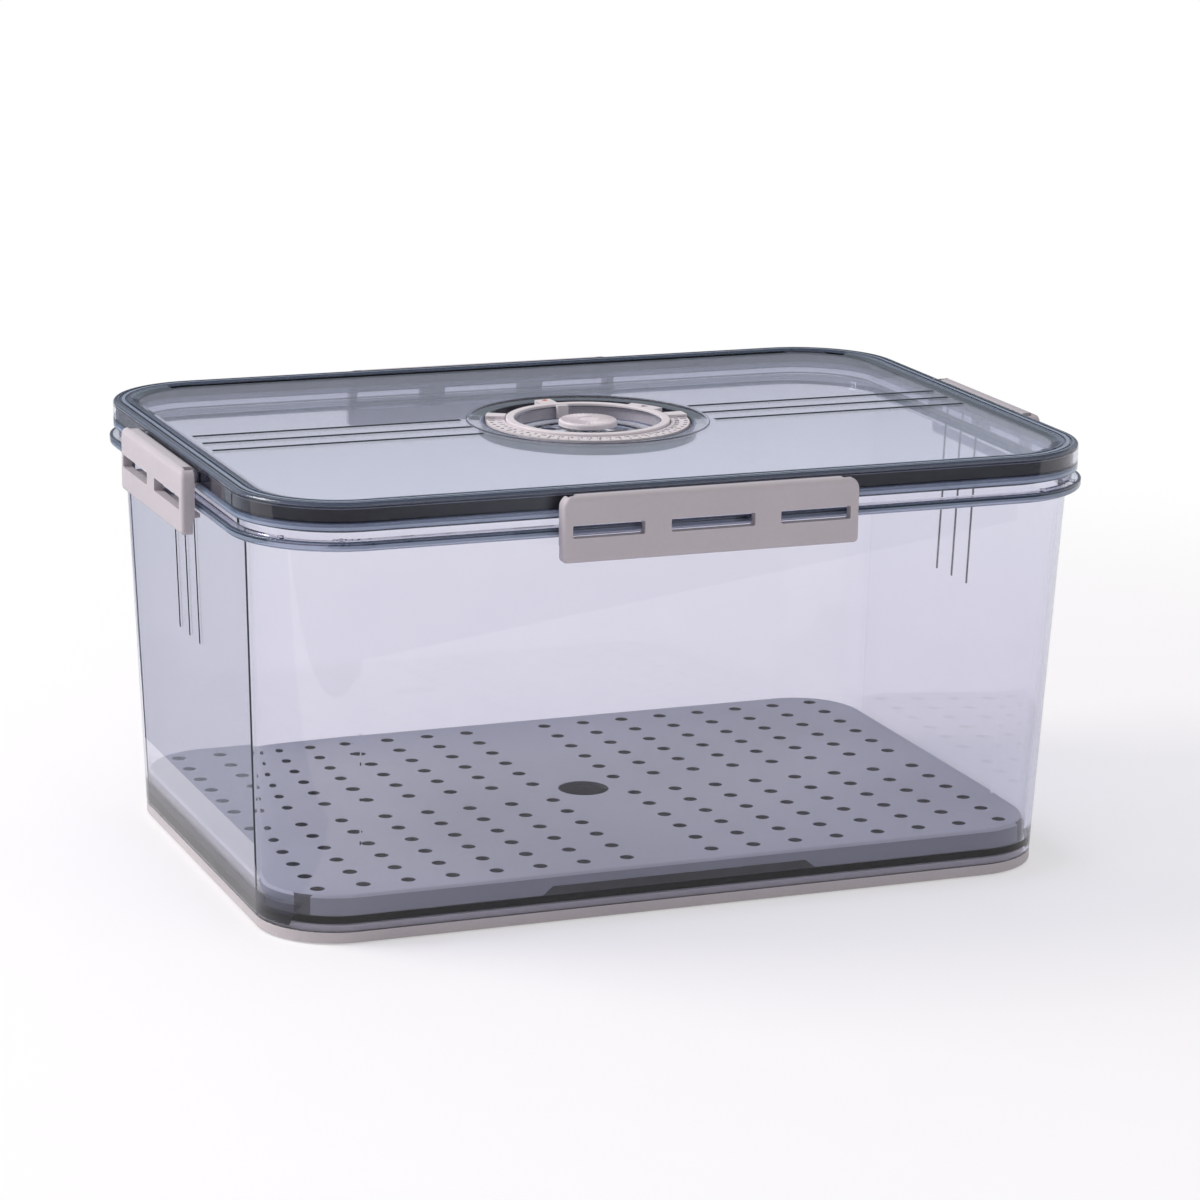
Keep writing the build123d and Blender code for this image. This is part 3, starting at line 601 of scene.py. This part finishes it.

# The clear pieces' edge bands, painted shade and painted light for what their grooves and edges bend
# and reflect: a mask, a colour and a strength each
tub_painted_bands = (
    (tub_grooves, PAINTED_LINE_DARK, 0.9),
    # the flange, from its top to its lower edge
    (edge_band(0.15635, 0.15652, FLANGE_OUT), PAINTED_EDGE_DARK, 0.8),
    (edge_band(0.15570, 0.15635, FLANGE_OUT), PAINTED_EDGE_MID, 0.6),
    (edge_band(0.15520, 0.15570, FLANGE_OUT), PAINTED_EDGE_DARK, 0.75),
    (edge_band(0.15370, 0.15520, FLANGE_UNDER), PAINTED_EDGE_LIGHT, 0.6),
    (edge_band(0.15315, 0.15370, FLANGE_UNDER), PAINTED_EDGE_MID, 0.6),
    # the foot, over the base trim, painted dark as painted shade
    (edge_band(0.0100, 0.0145, FOOT_OUT), PAINTED_FOOT_DARK, 0.6),
    (edge_band(0.0060, 0.0100, FOOT_OUT), PAINTED_FOOT_BLACK, 0.92),
)
lid_painted_bands = (
    (lid_grooves, PAINTED_LINE_DARK, 1.0),
    # the skirt, from the seal to its lower edge
    (edge_band(0.16290, 0.16335, SKIRT_OUT), PAINTED_EDGE_DARK, 0.85),
    (edge_band(0.16160, 0.16290, SKIRT_OUT), PAINTED_EDGE_MID, 0.6),
    (edge_band(0.16045, 0.16160, SKIRT_OUT), PAINTED_EDGE_LIGHT, 0.6),
    (edge_band(0.15995, 0.16045, SKIRT_OUT), PAINTED_EDGE_DARK, 0.7),
    # the frame's top, from its outer edge inwards
    (edge_band(0.16960, 0.17060, 0.0384, 0.0391), PAINTED_EDGE_DARK, 0.6),
    (edge_band(0.16930, 0.17060, 0.0391), PAINTED_FRAME_GREY, 0.55),
    (edge_band(0.17000, 0.17060, 0.0369, 0.0376), PAINTED_EDGE_DARK, 0.6),
    (edge_band(0.17000, 0.17060, 0.0352, 0.0364), PAINTED_EDGE_LIGHT, 0.6),
    (edge_band(0.17000, 0.17060, 0.0341, 0.0352), PAINTED_EDGE_DARK, 0.6),
    (edge_band(0.16985, 0.17040, 0.0320, 0.0341), PAINTED_EDGE_MID, 0.5),
    # the plug's lower edge
    (edge_band(0.15840, 0.15900, 0.0310, 0.0333), PAINTED_EDGE_DARK, 0.6),
    # the dial's well: its wall and its two edges
    (round_band(0.16450, 0.16905, 0.0412, 0.0420), PAINTED_LINE_DARK, 0.9),
    (round_band(0.16905, 0.16930, 0.0412, 0.0421), PAINTED_EDGE_DARK, 0.7),
    (round_band(0.16960, 0.17030, 0.0478, 0.0483), PAINTED_EDGE_DARK, 0.6),
)
clear_tub = clear("clear_tub", (0.16, 0.20, 0.50), 72.0, tub_painted_bands)
clear_lid = clear("clear_lid", (0.16, 0.20, 0.48), 110.0, lid_painted_bands)
clear_cup = clear("clear_cup", (0.40, 0.46, 0.55), 150.0)
taupe_trim = moulded("taupe_trim", (0.45, 0.415, 0.43))
taupe_latch = moulded("taupe_latch", (0.47, 0.43, 0.462), spread=0.03)
taupe_dial = moulded("taupe_dial", DIAL_COLOUR, spread=0.03)
date_shades = ((round_band(MARK_LOW, MARK_HIGH, MARK_INNER, MARK_OUTER), INK_COLOUR),)
date_plastic = moulded("taupe_date_ring", DIAL_COLOUR, spread=0.03, shades=date_shades)
ink = moulded("dial_ink", INK_COLOUR, rough=(0.4, 0.55))
# Painted shade: the tray's sides below its top edge and the walls of its holes are coloured darker
tray_painted_shade = (
    (edge_band(0.0, TRAY_EDGE, ALL_ROUND), (0.21, 0.215, 0.25)),
    (tray_inside, (0.03, 0.031, 0.04)),
)
# Painted sheen: the seal's top edge coloured lighter than the rest of the seal
gasket_painted_sheen = ((edge_band(SEAL_RIM_LOW, SEAL_RIM_HIGH, ALL_ROUND), (0.30, 0.32, 0.38)),)
grey_tray = moulded(
    "grey_tray", (0.42, 0.42, 0.465), rough=(0.45, 0.6), grain=1800.0, shades=tray_painted_shade
)
dark_gasket = moulded(
    "dark_gasket", (0.012, 0.013, 0.019), rough=(0.7, 0.8), shine_level=0.1, shades=gasket_painted_sheen
)
silicone = moulded("vent_silicone", (0.22, 0.22, 0.25), rough=(0.5, 0.65))
red_dot = moulded("red_dot", (0.62, 0.16, 0.09), rough=(0.35, 0.45))
pad_rubber = moulded("pad_rubber", (0.02, 0.02, 0.022), rough=(0.6, 0.75))
pin_steel = steel("pin_steel")
spring_steel = steel("spring_steel")

looks = {
    "container_tub": clear_tub,
    "base_trim": taupe_trim,
    "drain_tray": grey_tray,
    "lid_panel": clear_lid,
    "lid_gasket": dark_gasket,
    "vent_cup": clear_cup,
    "date_ring": date_plastic,
    "month_ring": taupe_dial,
    "index_dot": red_dot,
    "vent_button": taupe_dial,
    "vent_stem": clear_cup,
    "vent_seal": silicone,
    "vent_spring": spring_steel,
}
for side in ("front", "back", "left", "right"):
    looks["latch_" + side] = taupe_latch
    looks["pin_" + side] = pin_steel
for corner in ("front_left", "front_right", "back_left", "back_right"):
    looks["pad_" + corner] = pad_rubber
for name, material in looks.items():
    piece = nodes[name]
    if not piece.material_slots:
        piece.data.materials.append(material)
    for slot in piece.material_slots:
        slot.material = material

make_date_numbers()
make_pointer()

scene.cycles.use_denoising = True
scene.cycles.max_bounces = 24
scene.cycles.transmission_bounces = 20
scene.cycles.transparent_max_bounces = 24
scene.view_settings.view_transform = "Standard"
